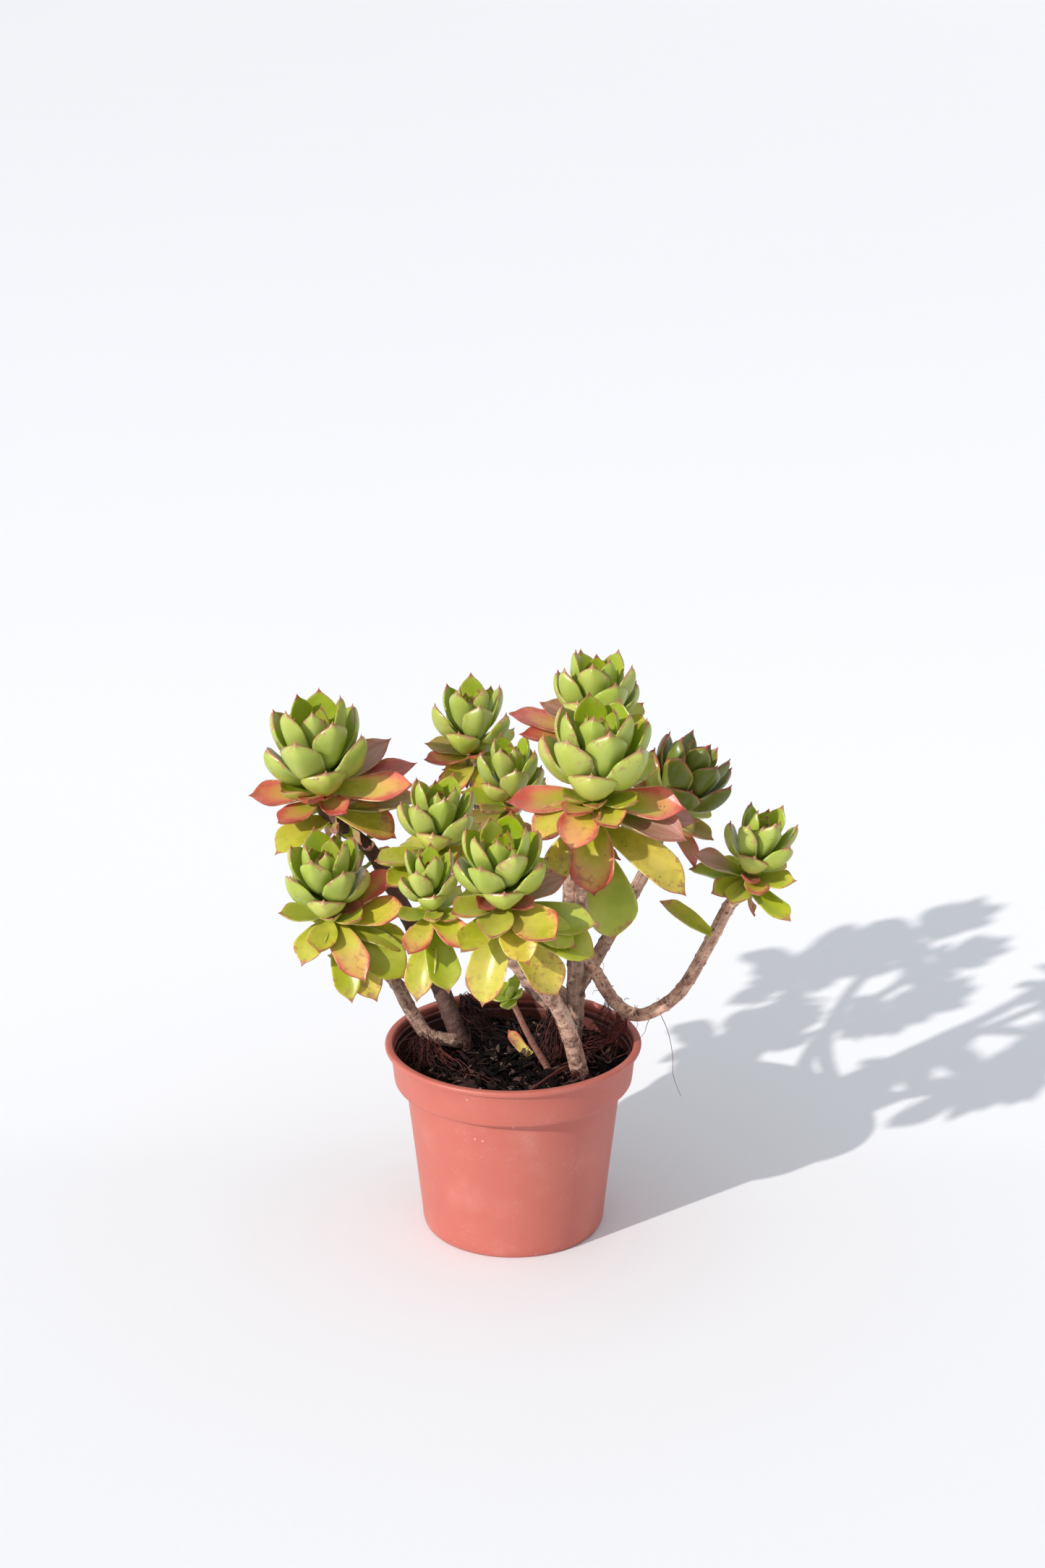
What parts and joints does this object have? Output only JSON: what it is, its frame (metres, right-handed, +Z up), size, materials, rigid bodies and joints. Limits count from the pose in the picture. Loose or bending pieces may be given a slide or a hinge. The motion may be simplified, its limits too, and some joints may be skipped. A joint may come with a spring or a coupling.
{
  "type": "potted sedeveria",
  "caption": "Branching succulent with leafy rosettes on bare woody stems, rooted in bark compost in a small round nursery pot.",
  "frame": {"origin": "middle of the pot's underside, on the surface that the pot stands on", "axes": "+Z up along the pot's axis, -Y the side that the picture shows, +X to the right seen from there"},
  "size_m": [0.221, 0.1863, 0.2393],
  "materials": {
    "pot_plastic": "satin",
    "soil": "matte",
    "bark": "matte",
    "young_leaf": "satin",
    "old_leaf": "satin"
  },
  "bodies": {
    "root": {"pot": "pot_plastic", "soil": "soil", "stem_left": "bark", "stem_front": "bark", "stem_rear": "bark", "offshoot_stem": "bark", "offshoot_leaves": "young_leaf", "lone_leaf": "young_leaf", "shed_leaf": "old_leaf", "head_a": "young_leaf", "head_b": "young_leaf", "head_c": "young_leaf", "head_d": "young_leaf", "head_e": "young_leaf", "head_f": "young_leaf", "head_g": "young_leaf", "head_h": "young_leaf", "head_i": "young_leaf", "head_j": "young_leaf", "head_k": "young_leaf", "skirt_a": "old_leaf", "skirt_b": "old_leaf", "skirt_c": "old_leaf", "skirt_d": "old_leaf", "skirt_e": "old_leaf", "skirt_f": "old_leaf", "skirt_g": "old_leaf", "skirt_h": "old_leaf", "skirt_i": "old_leaf", "skirt_j": "old_leaf", "skirt_k": "old_leaf"}
  },
  "joints": []
}
